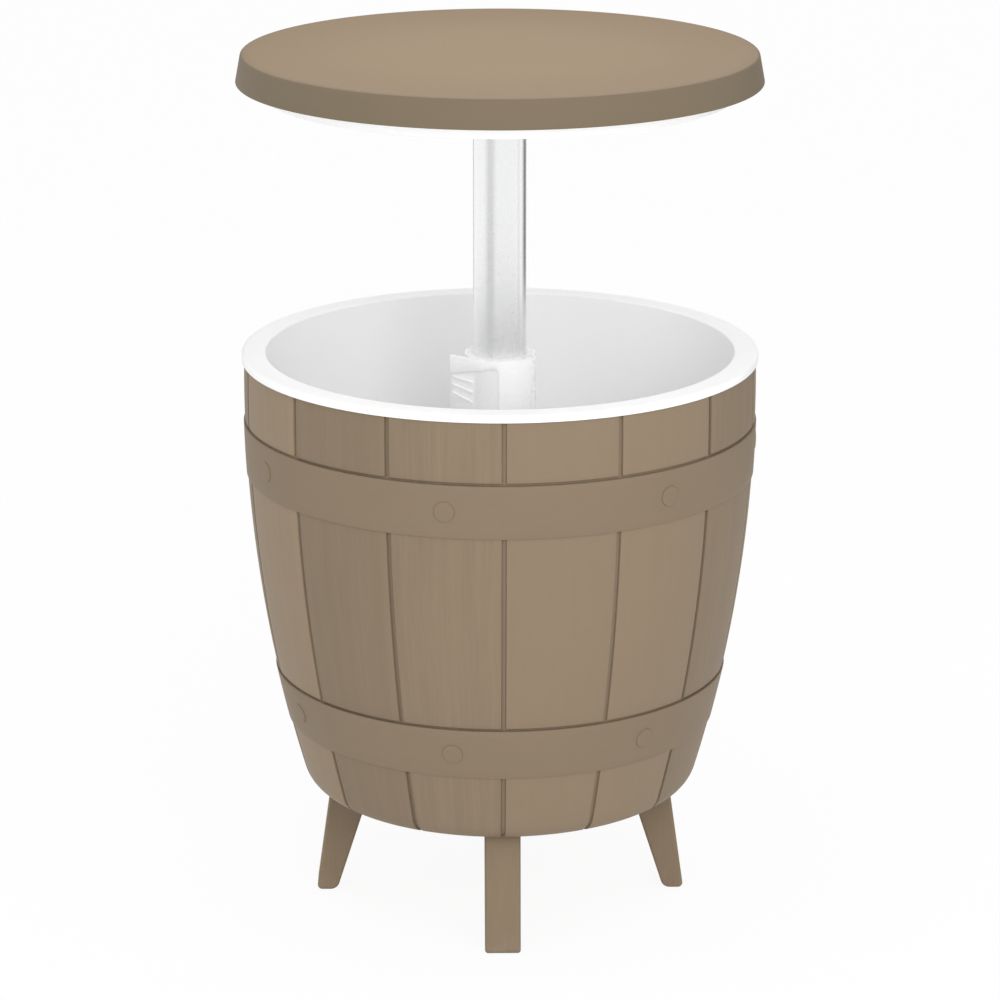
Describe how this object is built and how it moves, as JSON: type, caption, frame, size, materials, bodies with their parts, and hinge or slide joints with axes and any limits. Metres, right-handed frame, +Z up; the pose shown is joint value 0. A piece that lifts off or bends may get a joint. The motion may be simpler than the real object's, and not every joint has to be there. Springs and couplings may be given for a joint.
{
  "type": "cooler table with lid",
  "caption": "Barrel-shaped drinks cooler on four legs with a round table top that rises on a central tube held by a cam lever clamp.",
  "frame": {"origin": "on the ground, on the vertical axis of the barrel and the tube", "axes": "+Z up along the tube, -Y towards the front, where one leg and one line between staves stand"},
  "size_m": [0.4949, 0.495, 0.8348],
  "materials": {
    "barrel_plastic": "matte taupe moulded plastic with wood-grain staves",
    "white_plastic": "smooth white moulded plastic",
    "bearing_plastic": "white slippery bearing plastic",
    "pole_aluminium": "satin drawn tube",
    "screw_steel": "zinc plated",
    "pad_rubber": "matte black"
  },
  "bodies": {
    "barrel": {"barrel_shell": "barrel_plastic", "tub_liner": "white_plastic", "shell_screws": "screw_steel", "leg_screws": "screw_steel", "centre_column": "white_plastic", "column_screws": "screw_steel", "guide_bush": "bearing_plastic", "clamp_collar": "white_plastic", "collar_screws": "screw_steel", "clamp_pin": "screw_steel", "brake_pad": "pad_rubber", "leg_front": "barrel_plastic", "leg_right": "barrel_plastic", "leg_back": "barrel_plastic", "leg_left": "barrel_plastic"},
    "clamp_lever": {"clamp_lever": "white_plastic"},
    "glide": {"pole_glide": "bearing_plastic"},
    "table_top": {"pole": "pole_aluminium", "pole_end_cap": "bearing_plastic", "glide_retainer": "screw_steel", "pole_screws": "screw_steel", "lid_hub": "bearing_plastic", "hub_screws": "screw_steel", "lid_top": "barrel_plastic", "lid_liner": "white_plastic", "lid_screws": "screw_steel"},
    "drain_plug": {"drain_plug": "white_plastic", "drain_seal": "pad_rubber"}
  },
  "joints": [
    {"name": "top_slide", "type": "slide", "parent": "barrel", "child": "glide", "axis": [0, 0, 1], "range_m": [-0.2592, 0]},
    {"name": "top_turn", "type": "hinge", "parent": "glide", "child": "table_top", "pos_m": [0, 0, 0.5], "axis": [0, 0, 1], "continuous": true},
    {"name": "lever_swing", "type": "hinge", "parent": "barrel", "child": "clamp_lever", "pos_m": [0.02946, -0.01921, 0.514], "axis": [0, 0, 1], "range_deg": [0, 100]},
    {"name": "drain_pull", "type": "slide", "parent": "barrel", "child": "drain_plug", "axis": [0, 0, -1], "range_m": [0, 0.03]}
  ]
}
